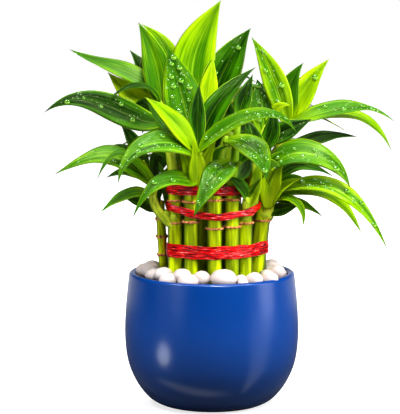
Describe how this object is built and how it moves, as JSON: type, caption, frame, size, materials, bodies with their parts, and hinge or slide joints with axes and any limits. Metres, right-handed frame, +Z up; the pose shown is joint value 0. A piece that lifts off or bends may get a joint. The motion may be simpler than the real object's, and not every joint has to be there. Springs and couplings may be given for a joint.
{
  "type": "lucky bamboo in a pot",
  "caption": "Bunch of upright green canes with leafy shoots, tied with red ribbon, standing in pebbles and soil in a round glazed pot.",
  "frame": {"origin": "centre of the flat foot of the pot, on the surface it stands on", "axes": "+Z up along the canes, -Y towards the front that the picture shows, +X to the right in that view"},
  "size_m": [0.2972, 0.2132, 0.3465],
  "materials": {
    "pot_glaze": "glossy cobalt-blue glaze",
    "soil": "dark crumbly potting soil",
    "pebble": "smooth white river pebbles, satin",
    "plant_green": "living cane and leaf, waxy gloss",
    "tie_red": "shiny red ribbon",
    "water_drop": "clear water beads"
  },
  "bodies": {
    "root": {"pot": "pot_glaze", "soil": "soil", "pebbles": "pebble", "stalk_a": "plant_green", "stalk_b": "plant_green", "stalk_c": "plant_green", "stalk_e": "plant_green", "stalk_f": "plant_green", "stalk_g": "plant_green", "stalk_h": "plant_green", "stalk_i": "plant_green", "stalk_j": "plant_green", "stalk_k": "plant_green", "stalk_m": "plant_green", "stalk_n": "plant_green", "stalk_o": "plant_green", "stalk_p": "plant_green", "stalk_d": "plant_green", "stalk_q": "plant_green", "stalk_r": "plant_green", "stalk_s": "plant_green", "stalk_t": "plant_green", "tie_lower": "tie_red", "tie_middle": "tie_red", "tie_upper": "tie_red", "tie_crown": "tie_red"}
  },
  "joints": []
}
